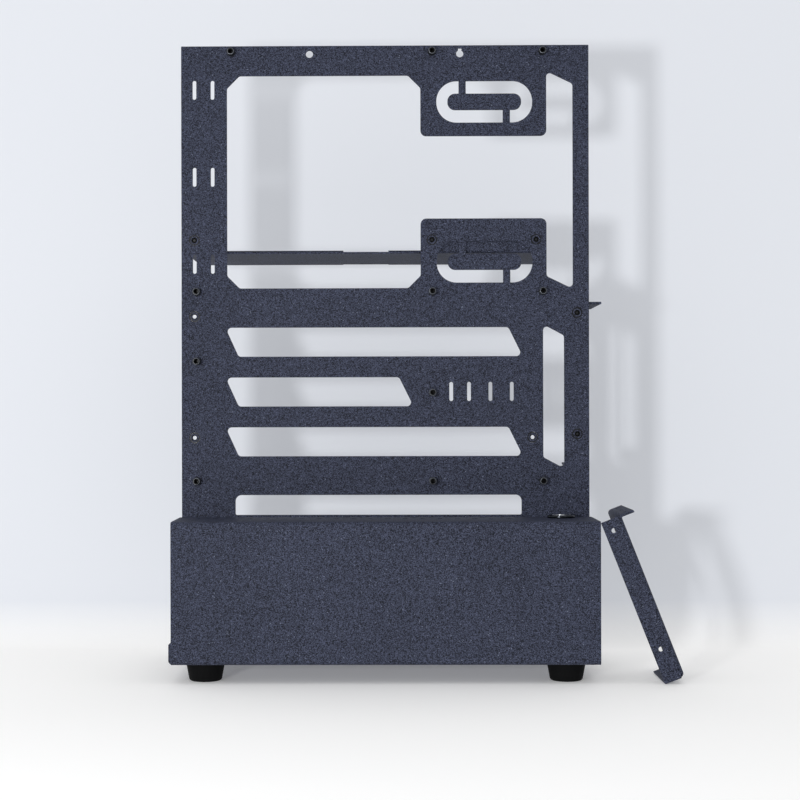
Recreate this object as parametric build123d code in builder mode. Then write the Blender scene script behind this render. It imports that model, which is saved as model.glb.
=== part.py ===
from build123d import *
import os
from math import asin, cos, degrees, hypot

# Vertical open test bench for a computer main board, folded from painted sheet steel.
# Millimetres. X runs to the right, Y to the back, Z up. The floor is at Z = 0 and
# the origin lies under the middle of the whole outline.

# Overall sizes
bench_height = 400.0          # underside of the base to the top of the plate
bench_depth = 150.0           # front wall to the rear edge of the floor and shelf
base_length = 270.0
deck_depth = 55.0             # front wall to the front face of the plate
foot_height = 12.0

# Sheet steel
base_sheet = 1.5
plate_sheet = 1.5
shelf_sheet = 1.2
bracket_sheet = 1.5
bend_inside = 1.0             # inside radius of every fold
seat_gap = 0.05               # play of a fastener in its hole
rest_gap = 0.2                # play between pieces that only lean on each other

# Base: deck, front wall and floor
deck_return = 13.0            # rear fold of the deck, against the plate
end_lip_height = 12.6         # upturned lip at the left end of the floor
end_lip_out = 2.0             # how far the lip stands outside the front wall
end_lip_inset = 4.0           # lip ends, from the front and rear edges of the floor
vent_across = 4.2             # hexagon across flats
vent_pitch = 11.2
vent_columns = 19
vent_row_gap = 7.0
vent_from_plate = 15.0        # plate face to the middle between the vent rows
vent_middle = -18.0           # middle of the vent rows, from the middle of the base

# Plate outline and the grid of main board fixings
plate_width = 268.0
plate_return = 13.0           # bottom fold of the plate, on the floor
return_screw_spread = 193.0   # outer screws of the two folds
board_edge = 10.16            # rear edge of the board to the first column of fixings
board_column_short = 22.86    # first column to the odd top fixing
board_column_mid = 154.94
board_column_far = 227.33
board_row_second = 157.48     # rows, down from the top row
board_row_small = 203.20
board_row_slots = 223.90
board_row_last = 281.94
board_top_margin = 4.4        # top edge of the plate to the top row
board_bottom_gap = 23.66      # last row to the deck

# Windows: heights are above the deck, places along X from the middle of the plate
window_left = -103.9
window_right = 123.5
window_top = 290.3
window_bottom = 150.4
window_chamfer = 8.2
lobe_top_high = 293.0         # slanted ends of the lobe beside the right post
lobe_top_low = 284.6
lobe_bottom_high = 158.0
lobe_bottom_low = 149.6
tab_left = 23.5               # the two tabs that carry the cable loops
tab_right = 106.2
tab_upper_end = 250.3
tab_lower_end = 196.1
tab_corner = 3.8
window_corner = 2.4
loop_length = 63.0
loop_height = 27.4
loop_corner = 13.2
island_length = 48.4
island_height = 10.7
island_corner = 4.9
bridge_width = 4.7
bridge_offset = 14.5
loop_middle = 65.5
loop_upper = 272.8
loop_lower = 167.6

bar_window_top = 124.6        # three slanted windows in the lower half
bar_window_height = 19.1
bar_window_pitch = 32.8
bar_window_left = -105.2
bar_window_lean_left = 8.7
bar_window_lean_right = 9.4
bar_window_right = 81.0
bar_window_right_short = 9.1
bar_window_corner = 2.6

post_window_left = 103.8      # narrow slanted window beside the right post
post_window_right = 117.6
post_window_top = 126.4
post_window_bottom = 39.0
post_window_slope = 7.4

leg_window_left = -98.7       # opening between the two legs
leg_window_right = 89.5
leg_window_top = 14.4
leg_window_bottom = 1.3       # a narrow strip is left above the deck
leg_window_corner = 4.0
leg_window_foot_corner = 1.0

# Small holes of the plate
slot_width = 2.5
slot_length = 12.6
tie_slot_outer = -125.3
tie_slot_inner = -113.4
tie_slot_top = 281.1
tie_slot_pitch = 57.3
tie_slot_rows = 3
card_slot_first = 43.4
card_slot_second = 55.1
card_slot_pitch = 14.05       # from the second slot on
card_slot_height = 82.3
card_slot_count = 4
hang_hole = 4.8
hang_spacing = 98.9
hang_height = 304.5
hang_notch_width = 2.4
hang_notch_rise = 1.1

# Fasteners
thread_bore = 2.6             # tapped M3 bore
screw_shank = 2.5
screw_head = 5.6
screw_head_height = 1.9
head_rounding = 0.4           # edge radius of a pan head, as a share of its height
nut_across = 5.5
nut_height = 2.4
flush_nut = 6.9               # flush press nut, seen from the front
standoff_across = 5.0
standoff_height = 6.5
standoff_shank = 4.2
standoff_rim = 0.4
clear_bore = 3.2

# Rear shelf
shelf_height = 174.6          # top of the shelf above the deck
shelf_left = -131.0
shelf_right = 104.5
shelf_ear_left = 12.0         # width of the left ear
shelf_ear_right = 81.0
shelf_ear_height = 14.0
shelf_screw_height = 182.2
shelf_screw_left = -125.5
shelf_screw_middle = 30.9
shelf_screw_right = 99.4
shelf_lip = 9.0
shelf_notch_left = -29.7
shelf_notch_width = 32.0
shelf_notch_depth = 5.6
shelf_hole = 2.6
shelf_hole_middle = -13.5
shelf_hole_gap = 6.0
shelf_hole_front = 28.0       # plate back to the first pair of small holes
shelf_hole_rear = 13.5        # rear edge to the second pair

# Card brackets: one on the plate, one leaning on the base
bracket_height = 108.6
bracket_width = 13.5
bracket_depth = 62.0
bracket_hole_spacing = 79.8
bracket_hole_drop = 7.3       # top of the bracket to the upper hole
bracket_hole_side = 7.8       # outer face of the bracket to the holes
bracket_upper_hole = 134.0    # above the deck, on the mounted bracket
bracket_window_height = 84.0
bracket_window_depth = 46.0
bracket_relief = 3.0          # gap between the folds at a corner
ledge_width = 8.6
ledge_holes = 3
ledge_pitch = 20.32
toe_depth = 44.0
spare_nut_height = 132.0      # upper nut for a bracket on the left edge
spare_nut_column = -125.5
extra_nut_column = 96.8
spare_foot_out = 39.8         # end of the base to the foot of the leaning bracket

# Feet
foot_top = 25.0
foot_bottom = 20.5
foot_edge = 1.5
foot_spread = 230.0
foot_row_inset = 20.0
foot_bore = 4.3
foot_recess = 10.0
foot_recess_depth = 5.0
foot_screw = 4.0
foot_screw_head = 8.0
foot_screw_head_height = 2.6
foot_nut_across = 7.0
foot_nut_height = 3.2

# Power button
button_column = 114.0         # from the middle of the base
button_setback = 13.5         # front face of the plate to the button's axis
button_bezel = 18.0
button_bezel_height = 2.0
button_bezel_round = 0.9
button_barrel = 15.8
button_barrel_length = 17.0
button_bore = 12.6
button_cap_play = 0.08
button_cap_rise = 0.8
button_cap_round = 0.5
button_cap_length = 6.2
button_travel = 1.6
button_floor_gap = 1.0        # room under the pressed cap
button_nut_across = 18.0
button_nut_height = 2.5
terminal_width = 2.8
terminal_thick = 0.5
terminal_length = 6.0
terminal_gap = 7.0

# Places that follow from the sizes above
bend_base = base_sheet + bend_inside
bend_shelf = shelf_sheet + bend_inside
bend_bracket = bracket_sheet + bend_inside
floor_top = foot_height + base_sheet
base_height = bench_height - board_top_margin - board_row_last - board_bottom_gap
deck_top = foot_height + base_height
front_y = -bench_depth / 2
rear_y = bench_depth / 2
plate_y = front_y + deck_depth
plate_back = plate_y + plate_sheet
plate_top = foot_height + bench_height
lean = asin(spare_foot_out / min(bracket_height, hypot(spare_foot_out, deck_top)))
outline_left = -base_length / 2 - end_lip_out
spare_x = base_length / 2 + rest_gap + spare_foot_out
outline_right = spare_x + bracket_width * cos(lean)
mid_x = -(outline_left + outline_right) / 2
end_left = mid_x - base_length / 2
button_x = mid_x + button_column
button_y = plate_y - button_setback
board_x = mid_x - plate_width / 2 + board_edge
board_top = plate_top - board_top_margin
return_screw_columns = [mid_x + side * return_screw_spread / 2 for side in (-1, 0, 1)]
deck_screw_z = deck_top - deck_return / 2 - base_sheet / 2
floor_screw_y = plate_back + plate_return / 2
feet_places = {
    "front_left": (mid_x - foot_spread / 2, front_y + foot_row_inset),
    "front_right": (mid_x + foot_spread / 2, front_y + foot_row_inset),
    "rear_left": (mid_x - foot_spread / 2, rear_y - foot_row_inset),
    "rear_right": (mid_x + foot_spread / 2, rear_y - foot_row_inset),
}
standoff_places = [
    (board_x + board_column_short, board_top),
    (board_x + board_column_mid, board_top),
    (board_x + board_column_far, board_top),
    (board_x, board_top - board_row_second),
    (board_x + board_column_mid, board_top - board_row_second),
    (board_x + board_column_far, board_top - board_row_second),
    (board_x, board_top - board_row_small),
    (board_x + board_column_mid, board_top - board_row_slots),
    (board_x, board_top - board_row_last),
    (board_x + board_column_mid, board_top - board_row_last),
    (board_x + board_column_far, board_top - board_row_last),
]
shelf_screw_columns = [shelf_screw_left, shelf_screw_middle, shelf_screw_right]
shelf_screw_places = [(mid_x + x, deck_top + shelf_screw_height) for x in shelf_screw_columns]
bracket_outer = mid_x + plate_width / 2
bracket_column = bracket_outer - bracket_hole_side
bracket_screw_places = [
    (bracket_column, deck_top + bracket_upper_hole),
    (bracket_column, deck_top + bracket_upper_hole - bracket_hole_spacing),
]
spare_nut_places = [
    (mid_x + spare_nut_column, deck_top + spare_nut_height),
    (mid_x + spare_nut_column, deck_top + spare_nut_height - bracket_hole_spacing),
    (mid_x + extra_nut_column, deck_top + spare_nut_height - bracket_hole_spacing),
]
flush_nut_places = shelf_screw_places + bracket_screw_places + spare_nut_places
os.makedirs("parts", exist_ok=True)


def front_plane(y):
    """Drawing plane that faces the front, at depth y: its X is X and its Y is Z."""
    return Plane.XZ.offset(-y)


def facing_front(places, y):
    """Locations at depth y whose Z axis points to the front."""
    return [Location((x, y, z), (90, 0, 0)) for x, z in places]


def pan_screw(shank, head, head_height, reach):
    """Pan head screw along +Z, with the seat of its head at Z = 0."""
    with BuildPart() as screw:
        Cylinder(head / 2, head_height, align=(Align.CENTER, Align.CENTER, Align.MAX))
        fillet(screw.edges().group_by(Axis.Z)[0], head_height * head_rounding)
        Cylinder(shank / 2, reach, align=(Align.CENTER, Align.CENTER, Align.MIN))
    return screw.part


def hex_nut(across, height, bore):
    """Hexagon nut that sits on Z = 0."""
    with BuildPart() as nut:
        with BuildSketch():
            RegularPolygon(across / 2, 6, major_radius=False)
            Circle(bore / 2, mode=Mode.SUBTRACT)
        extrude(amount=height)
    return nut.part


def export(block, label):
    """Name a finished piece and write it."""
    block.part.label = label
    export_step(block.part, f"parts/{label}.step")


def rounded_outline(points, radius):
    """Closed flat shape through the points, with its corners rounded."""
    with BuildSketch() as shape:
        with BuildLine():
            FilletPolyline(*points, radius=radius, close=True)
        make_face()
    return shape.sketch


def folded_strip(points, sheet, side):
    """Cross-section of a folded sheet whose outer face follows the points."""
    with BuildSketch() as section:
        with BuildLine():
            FilletPolyline(*points, radius=sheet + bend_inside)
            offset(amount=sheet, side=side)
        make_face()
    return section.sketch


# Base: deck, front wall and floor folded from one sheet, with a lip at its left end
base_section = folded_strip(
    [
        (plate_y, deck_top - deck_return),
        (plate_y, deck_top),
        (front_y, deck_top),
        (front_y, foot_height),
        (rear_y, foot_height),
    ],
    base_sheet,
    Side.LEFT,
)
lip_section = folded_strip(
    [
        (end_left + bend_base, foot_height),
        (end_left - end_lip_out, foot_height),
        (end_left - end_lip_out, foot_height + end_lip_height),
    ],
    base_sheet,
    Side.RIGHT,
)
with BuildPart() as base_shell:
    with BuildSketch(Plane.YZ.offset(end_left)):
        add(base_section)
    extrude(amount=base_length)
    with BuildSketch(front_plane(rear_y - end_lip_inset)):
        add(lip_section)
    extrude(amount=bench_depth - 2 * end_lip_inset)
    vent_y = plate_y - vent_from_plate
    for side in (-0.5, 0.5):
        vent_x = mid_x + vent_middle + side * vent_pitch / 2
        with BuildSketch(Plane((vent_x, vent_y + side * vent_row_gap, deck_top))):
            with GridLocations(vent_pitch, vent_pitch, vent_columns, 1):
                RegularPolygon(vent_across / 2, 6, major_radius=False)
        extrude(amount=-base_sheet, mode=Mode.SUBTRACT)
    with Locations((button_x, button_y, deck_top)):
        Hole(button_barrel / 2 + seat_gap, depth=base_sheet)
    with Locations(*[(x, y, floor_top) for x, y in feet_places.values()]):
        Hole(foot_screw / 2 + seat_gap, depth=base_sheet)
    with Locations(*[(x, floor_screw_y, floor_top) for x in return_screw_columns]):
        Hole(clear_bore / 2, depth=base_sheet)
    with Locations(*facing_front([(x, deck_screw_z) for x in return_screw_columns], plate_y)):
        Hole(clear_bore / 2, depth=2 * base_sheet)
export(base_shell, "base_shell")

# Plate: one sheet from the floor to the top, folded back at its foot
big_window = rounded_outline(
    [
        (window_left, window_top - window_chamfer),
        (window_left + window_chamfer, window_top),
        (tab_left - window_chamfer, window_top),
        (tab_left, window_top - window_chamfer),
        (tab_left, tab_upper_end),
        (tab_right, tab_upper_end),
        (tab_right, lobe_top_high),
        (window_right, lobe_top_low),
        (window_right, lobe_bottom_low),
        (tab_right, lobe_bottom_high),
        (tab_right, tab_lower_end),
        (tab_left, tab_lower_end),
        (tab_left, window_bottom + window_chamfer),
        (tab_left - window_chamfer, window_bottom),
        (window_left + window_chamfer, window_bottom),
        (window_left, window_bottom + window_chamfer),
    ],
    [window_corner] * 4 + [tab_corner] * 2 + [window_corner] * 4 + [tab_corner] * 2
    + [window_corner] * 4,
)
post_window = rounded_outline(
    [
        (post_window_left, post_window_top),
        (post_window_right, post_window_top - post_window_slope),
        (post_window_right, post_window_bottom - post_window_slope),
        (post_window_left, post_window_bottom),
    ],
    window_corner,
)
leg_window = rounded_outline(
    [
        (leg_window_left, leg_window_top),
        (leg_window_right, leg_window_top),
        (leg_window_right, leg_window_bottom),
        (leg_window_left, leg_window_bottom),
    ],
    [leg_window_corner] * 2 + [leg_window_foot_corner] * 2,
)
bar_windows = []
for row, right in enumerate((bar_window_right, bar_window_right_short, bar_window_right)):
    top = bar_window_top - row * bar_window_pitch
    bottom = top - bar_window_height
    bar_windows.append(
        rounded_outline(
            [
                (bar_window_left, top),
                (right, top),
                (right + bar_window_lean_right, bottom),
                (bar_window_left + bar_window_lean_left, bottom),
            ],
            bar_window_corner,
        )
    )
with BuildSketch() as cable_loop:
    RectangleRounded(loop_length, loop_height, loop_corner)
    RectangleRounded(island_length, island_height, island_corner, mode=Mode.SUBTRACT)
    with Locations((-bridge_offset, loop_height / 4), (bridge_offset, -loop_height / 4)):
        Rectangle(bridge_width, loop_height / 2, mode=Mode.SUBTRACT)
fold_top = floor_top + plate_sheet + bend_inside
with BuildSketch() as plate_face:
    with Locations((0, fold_top - deck_top)):
        Rectangle(plate_width, plate_top - fold_top, align=(Align.CENTER, Align.MIN))
    for window in [big_window, post_window, leg_window] + bar_windows:
        add(window, mode=Mode.SUBTRACT)
    with Locations((loop_middle, loop_upper), (loop_middle, loop_lower)):
        add(cable_loop.sketch, mode=Mode.SUBTRACT)
    tie_slots = [
        (x, tie_slot_top - row * tie_slot_pitch)
        for x in (tie_slot_outer, tie_slot_inner)
        for row in range(tie_slot_rows)
    ]
    card_slots = [(card_slot_first, card_slot_height)]
    for step in range(card_slot_count - 1):
        card_slots.append((card_slot_second + step * card_slot_pitch, card_slot_height))
    with Locations(*tie_slots, *card_slots):
        SlotOverall(slot_length, slot_width, rotation=90, mode=Mode.SUBTRACT)
    with Locations((-hang_spacing / 2, hang_height), (hang_spacing / 2, hang_height)):
        Circle(hang_hole / 2, mode=Mode.SUBTRACT)
    with Locations((hang_spacing / 2, hang_height)):
        Rectangle(
            hang_notch_width,
            hang_hole / 2 + hang_notch_rise,
            align=(Align.CENTER, Align.MIN),
            mode=Mode.SUBTRACT,
        )
plate_fold = folded_strip(
    [
        (plate_back + plate_return, floor_top),
        (plate_y, floor_top),
        (plate_y, fold_top + plate_sheet),
    ],
    plate_sheet,
    Side.RIGHT,
)
with BuildPart() as main_plate:
    with BuildSketch(Plane((mid_x, plate_back, deck_top), x_dir=(1, 0, 0), z_dir=(0, -1, 0))):
        add(plate_face.sketch)
    extrude(amount=plate_sheet)
    with BuildSketch(Plane.YZ.offset(mid_x - plate_width / 2)):
        add(plate_fold)
    extrude(amount=plate_width)
    with Locations(*facing_front(standoff_places, plate_y)):
        Hole(standoff_shank / 2 + seat_gap, depth=plate_sheet)
    with Locations(*facing_front(flush_nut_places, plate_y)):
        Hole(flush_nut / 2 + seat_gap, depth=plate_sheet)
    with Locations(*facing_front([(x, deck_screw_z) for x in return_screw_columns], plate_y)):
        Hole(clear_bore / 2, depth=plate_sheet)
    with Locations(*[(x, floor_screw_y, floor_top + plate_sheet) for x in return_screw_columns]):
        Hole(clear_bore / 2, depth=plate_sheet)
export(main_plate, "main_plate")

# Press-in standoffs for the main board
with BuildPart() as standoff:
    Cylinder(standoff_across / 2, standoff_height, align=(Align.CENTER, Align.CENTER, Align.MIN))
    chamfer(standoff.edges().group_by(Axis.Z)[-1], standoff_rim)
    Cylinder(standoff_shank / 2, plate_sheet, align=(Align.CENTER, Align.CENTER, Align.MAX))
    with Locations((0, 0, standoff_height)):
        Hole(thread_bore / 2, depth=standoff_height)
with BuildPart() as board_standoffs:
    with Locations(*facing_front(standoff_places, plate_y)):
        add(standoff.part)
export(board_standoffs, "board_standoffs")

# Flush press nuts in the plate
with BuildPart() as press_nut:
    Cylinder(flush_nut / 2, plate_sheet, align=(Align.CENTER, Align.CENTER, Align.MAX))
    Hole(thread_bore / 2)
with BuildPart() as flush_nuts:
    with Locations(*facing_front(flush_nut_places, plate_y)):
        add(press_nut.part)
export(flush_nuts, "flush_nuts")

# Rear shelf: a tray with two ears folded up at the plate and a lip at its rear edge
shelf_z = deck_top + shelf_height
shelf_under = shelf_z - shelf_sheet
tray_section = folded_strip(
    [
        (plate_back + bend_shelf, shelf_under),
        (rear_y, shelf_under),
        (rear_y, shelf_z + shelf_lip),
    ],
    shelf_sheet,
    Side.LEFT,
)
ear_section = folded_strip(
    [
        (plate_back, shelf_z + shelf_ear_height),
        (plate_back, shelf_under),
        (plate_back + 2 * bend_shelf, shelf_under),
    ],
    shelf_sheet,
    Side.LEFT,
)
shelf_ears = [
    (mid_x + shelf_left, shelf_ear_left),
    (mid_x + shelf_right - shelf_ear_right, shelf_ear_right),
]
shelf_hole_rows = [plate_back + shelf_hole_front, rear_y - shelf_hole_rear]
with BuildPart() as rear_shelf:
    with BuildSketch(Plane.YZ.offset(mid_x + shelf_left)):
        add(tray_section)
    extrude(amount=shelf_right - shelf_left)
    for ear_start, ear_width in shelf_ears:
        with BuildSketch(Plane.YZ.offset(ear_start)):
            add(ear_section)
        extrude(amount=ear_width)
    with Locations((mid_x + shelf_notch_left, rear_y, shelf_under)):
        Box(
            shelf_notch_width,
            shelf_notch_depth,
            shelf_lip + 2 * shelf_sheet,
            align=(Align.MIN, Align.MAX, Align.MIN),
            mode=Mode.SUBTRACT,
        )
    with Locations(*[(mid_x + shelf_hole_middle, y, shelf_z) for y in shelf_hole_rows]):
        with GridLocations(shelf_hole_gap, shelf_hole_gap, 2, 1):
            Hole(shelf_hole / 2, depth=shelf_sheet)
    with Locations(*facing_front(shelf_screw_places, plate_back)):
        Hole(clear_bore / 2, depth=shelf_sheet)
export(rear_shelf, "rear_shelf")

# Card bracket: spine, side wall with an opening, ledge folded out and toe folded in.
# It is drawn with the lower inner corner of its spine at the origin.
wall_section = folded_strip(
    [(0, 0), (bracket_width, 0), (bracket_width, bracket_depth)],
    bracket_sheet,
    Side.LEFT,
)
ledge_section = folded_strip(
    [
        (bracket_width - bracket_sheet, bracket_height - 2 * bend_bracket),
        (bracket_width - bracket_sheet, bracket_height),
        (bracket_width + ledge_width, bracket_height),
    ],
    bracket_sheet,
    Side.RIGHT,
)
toe_section = folded_strip(
    [(bracket_width, 2 * bend_bracket), (bracket_width, 0), (0, 0)],
    bracket_sheet,
    Side.RIGHT,
)
bracket_hole_x = bracket_width - bracket_hole_side
ledge_run = bracket_depth - bracket_relief
with BuildPart() as bracket:
    with BuildSketch(Plane.XY.offset(bend_bracket)):
        add(wall_section)
    extrude(amount=bracket_height - 2 * bend_bracket)
    Box(bracket_width - bend_bracket, bracket_sheet, bracket_height, align=Align.MIN)
    with Locations((bracket_width, (bracket_depth + bracket_relief) / 2, bracket_height / 2)):
        Box(
            2 * bend_bracket,
            bracket_window_depth,
            bracket_window_height,
            mode=Mode.SUBTRACT,
        )
    with BuildSketch(front_plane(bracket_depth)):
        add(ledge_section)
    extrude(amount=ledge_run)
    with BuildSketch(front_plane(bracket_relief + toe_depth)):
        add(toe_section)
    extrude(amount=toe_depth)
    ledge_middle = (bracket_width + ledge_width / 2, bracket_depth - ledge_run / 2, bracket_height)
    with Locations(ledge_middle):
        with GridLocations(1, ledge_pitch, 1, ledge_holes):
            Hole(thread_bore / 2, depth=bracket_sheet)
    hole_z = bracket_height - bracket_hole_drop
    bracket_holes = [(bracket_hole_x, hole_z), (bracket_hole_x, hole_z - bracket_hole_spacing)]
    with Locations(*facing_front(bracket_holes, 0)):
        Hole(clear_bore / 2, depth=bracket_sheet)
bracket_top = deck_top + bracket_upper_hole + bracket_hole_drop
bracket_corner = (bracket_outer - bracket_width, plate_back, bracket_top - bracket_height)
with BuildPart() as card_bracket:
    with Locations(bracket_corner):
        add(bracket.part)
export(card_bracket, "card_bracket")

# Second card bracket, standing on the floor and leaning on the right end of the base
spare_corner = (mid_x + spare_x, front_y + rest_gap, 0)
with BuildPart() as spare_card_bracket:
    with Locations(Location(spare_corner, (0, -degrees(lean), 0))):
        add(bracket.part)
export(spare_card_bracket, "spare_card_bracket")

# Screws of the shelf and of the mounted bracket, from the back into the flush nuts
shelf_screw = pan_screw(screw_shank, screw_head, screw_head_height, plate_sheet + shelf_sheet)
with BuildPart() as shelf_screws:
    with Locations(*facing_front(shelf_screw_places, plate_back + shelf_sheet)):
        add(shelf_screw)
export(shelf_screws, "shelf_screws")

bracket_screw = pan_screw(screw_shank, screw_head, screw_head_height, plate_sheet + bracket_sheet)
with BuildPart() as bracket_screws:
    with Locations(*facing_front(bracket_screw_places, plate_back + bracket_sheet)):
        add(bracket_screw)
export(bracket_screws, "bracket_screws")

# Screws and nuts that hold the plate to the deck and to the floor
small_nut = hex_nut(nut_across, nut_height, thread_bore)
deck_reach = plate_sheet + base_sheet + nut_height
deck_screw = pan_screw(screw_shank, screw_head, screw_head_height, deck_reach)
deck_screw_places = [(x, deck_screw_z) for x in return_screw_columns]
with BuildPart() as deck_screws:
    with Locations(*facing_front(deck_screw_places, plate_back)):
        add(deck_screw)
export(deck_screws, "deck_screws")
with BuildPart() as deck_nuts:
    with Locations(*facing_front(deck_screw_places, plate_y - base_sheet)):
        add(small_nut)
export(deck_nuts, "deck_nuts")
with BuildPart() as floor_screws:
    with Locations(*[(x, floor_screw_y, foot_height) for x in return_screw_columns]):
        add(deck_screw)
export(floor_screws, "floor_screws")
with BuildPart() as floor_nuts:
    with Locations(*[(x, floor_screw_y, floor_top + plate_sheet) for x in return_screw_columns]):
        add(small_nut)
export(floor_nuts, "floor_nuts")

# Rubber feet, each held by a screw through the floor
with BuildPart() as foot:
    with BuildSketch(Plane.XZ):
        with BuildLine():
            Polyline(
                (foot_bore / 2, foot_recess_depth),
                (foot_recess / 2, foot_recess_depth),
                (foot_recess / 2, 0),
                (foot_bottom / 2, 0),
                (foot_top / 2, foot_height),
                (foot_bore / 2, foot_height),
                close=True,
            )
        make_face()
    revolve(axis=Axis.Z)
    rim = foot.faces().sort_by(Axis.Z)[0].outer_wire().edges()
    fillet(rim, foot_edge)
for corner, (x, y) in feet_places.items():
    with BuildPart() as rubber_foot:
        with Locations((x, y, 0)):
            add(foot.part)
    export(rubber_foot, f"foot_{corner}")
foot_reach = foot_height - foot_recess_depth + base_sheet + foot_nut_height
foot_bolt = pan_screw(foot_screw, foot_screw_head, foot_screw_head_height, foot_reach)
with BuildPart() as foot_screws:
    with Locations(*[(x, y, foot_recess_depth) for x, y in feet_places.values()]):
        add(foot_bolt)
export(foot_screws, "foot_screws")
foot_nut = hex_nut(foot_nut_across, foot_nut_height, foot_screw + 2 * seat_gap)
with BuildPart() as foot_nuts:
    with Locations(*[(x, y, floor_top) for x, y in feet_places.values()]):
        add(foot_nut)
export(foot_nuts, "foot_nuts")

# Power button: housing with its bezel, ring nut under the deck, moving cap and terminals
bezel_top = deck_top + button_bezel_height
button_bore_depth = button_cap_length - button_cap_rise + button_travel + button_floor_gap
barrel_end = deck_top - button_barrel_length
with BuildPart(Plane((button_x, button_y, deck_top))) as button_housing:
    Cylinder(button_bezel / 2, button_bezel_height, align=(Align.CENTER, Align.CENTER, Align.MIN))
    fillet(button_housing.edges().group_by(Axis.Z)[-1], button_bezel_round)
    Cylinder(button_barrel / 2, button_barrel_length, align=(Align.CENTER, Align.CENTER, Align.MAX))
    with Locations((0, 0, button_bezel_height)):
        Hole(button_bore / 2, depth=button_bore_depth)
export(button_housing, "button_housing")
with BuildPart(Plane((button_x, button_y, bezel_top + button_cap_rise))) as button_cap:
    Cylinder(
        button_bore / 2 - button_cap_play,
        button_cap_length,
        align=(Align.CENTER, Align.CENTER, Align.MAX),
    )
    fillet(button_cap.edges().group_by(Axis.Z)[-1], button_cap_round)
export(button_cap, "button_cap")
ring_nut = hex_nut(button_nut_across, button_nut_height, button_barrel + 2 * seat_gap)
with BuildPart() as button_nut:
    with Locations((button_x, button_y, deck_top - base_sheet - button_nut_height)):
        add(ring_nut)
export(button_nut, "button_nut")
with BuildPart() as button_terminals:
    with Locations((button_x, button_y, barrel_end)):
        with GridLocations(terminal_gap, terminal_gap, 2, 1):
            Box(
                terminal_thick,
                terminal_width,
                terminal_length,
                align=(Align.CENTER, Align.CENTER, Align.MAX),
            )
export(button_terminals, "button_terminals")
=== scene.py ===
"""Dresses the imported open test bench: finishes, turned and threaded small parts, camera and light.

Everything is in metres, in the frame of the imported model: +X right, +Y back, +Z up.
Sizes of the small parts are in millimetres, as on a drawing.
"""

from __future__ import annotations

import logging
import math
from dataclasses import dataclass
from enum import Enum
from typing import Any, ClassVar, Mapping, Sequence

import bmesh
import bpy
from mathutils import Matrix, Vector


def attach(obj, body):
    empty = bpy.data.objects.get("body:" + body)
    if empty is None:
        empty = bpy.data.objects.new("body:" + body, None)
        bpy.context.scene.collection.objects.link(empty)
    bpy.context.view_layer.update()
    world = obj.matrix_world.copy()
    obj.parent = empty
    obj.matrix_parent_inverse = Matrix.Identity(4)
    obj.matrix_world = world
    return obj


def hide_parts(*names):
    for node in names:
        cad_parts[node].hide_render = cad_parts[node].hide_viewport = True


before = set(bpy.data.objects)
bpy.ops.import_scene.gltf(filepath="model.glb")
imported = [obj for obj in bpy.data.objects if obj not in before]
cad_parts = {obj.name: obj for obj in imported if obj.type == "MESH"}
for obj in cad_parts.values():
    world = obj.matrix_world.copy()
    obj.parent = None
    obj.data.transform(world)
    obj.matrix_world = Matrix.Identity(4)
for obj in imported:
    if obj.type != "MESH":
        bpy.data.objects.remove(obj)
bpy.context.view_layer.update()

log = logging.getLogger("bench")

MM = 0.001
WELD_DISTANCE = 1e-6
FULL_TURN = 2 * math.pi
TURN_STEPS = 40
SHARP_ANGLE = math.radians(32)
RING_SLACK = 0.01
RING_TOLERANCE = 1e-5
CUT_TOLERANCE = 1e-8
BUMP_STRENGTH = 0.5
NOISE_RANGE = (0.3, 0.7)

Outline = list[tuple[float, float]]


class Body(Enum):
    """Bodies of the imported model."""

    BENCH = "bench"
    BUTTON = "button"


class Slot(Enum):
    """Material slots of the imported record."""

    POWDER_COAT = "powder_coat"
    BLACK_ZINC = "black_zinc"
    FASTENER_STEEL = "fastener_steel"
    RUBBER = "foot_rubber"
    CHROME = "button_chrome"
    BRASS = "terminal_brass"


class Way(Enum):
    """Direction in which a small part's own +Z points on the bench."""

    UP = "up"
    FRONT = "front"

    def turn(self) -> Matrix:
        """Rotation that brings +Z to this direction."""
        return Matrix.Rotation(math.radians(90 if self is Way.FRONT else 0), 4, "X")


def linear(code: str) -> tuple[float, float, float, float]:
    """Turn an sRGB hex colour into linear RGBA.

    Args:
        code: Colour such as "#3f434f".

    Returns:
        Linear red, green, blue and an alpha of 1.
    """
    channels = [int(code[i : i + 2], 16) / 255 for i in (1, 3, 5)]
    r, g, b = [c / 12.92 if c <= 0.04045 else ((c + 0.055) / 1.055) ** 2.4 for c in channels]
    return r, g, b, 1.0


def add_node(
    tree: bpy.types.NodeTree,
    kind: str,
    inputs: Mapping[str | int, Any] | None = None,
    **settings: Any,
) -> bpy.types.Node:
    """Add a shader node with its settings, values and links.

    Args:
        tree: Tree that gets the node.
        kind: Blender's name of the node type.
        inputs: Socket names or numbers with a value or a socket to link from.
        **settings: Properties of the node itself.

    Returns:
        The new node.
    """
    made = tree.nodes.new(kind)
    for name, value in settings.items():
        setattr(made, name, value)
    for key, value in (inputs or {}).items():
        if isinstance(value, bpy.types.NodeSocket):
            tree.links.new(value, made.inputs[key])
        else:
            made.inputs[key].default_value = value
    return made


def per_metre(size_mm: float) -> float:
    """Scale of a texture whose cells are size_mm wide."""
    return 1 / (size_mm * MM)


def shown(tree: bpy.types.NodeTree) -> bpy.types.NodeSocket:
    """Tell the rays that show the background from those that only light the bench.

    Args:
        tree: Tree of the background's material or of the world.

    Returns:
        Socket that is 1 for what the camera sees, directly, in a mirror or through glass.
    """
    path = add_node(tree, "ShaderNodeLightPath")
    seen = path.outputs["Is Camera Ray"]
    for kind in ("Is Glossy Ray", "Is Transmission Ray"):
        seen = add_node(
            tree, "ShaderNodeMath", {0: seen, 1: path.outputs[kind]}, operation="MAXIMUM"
        ).outputs["Value"]
    return seen


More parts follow.
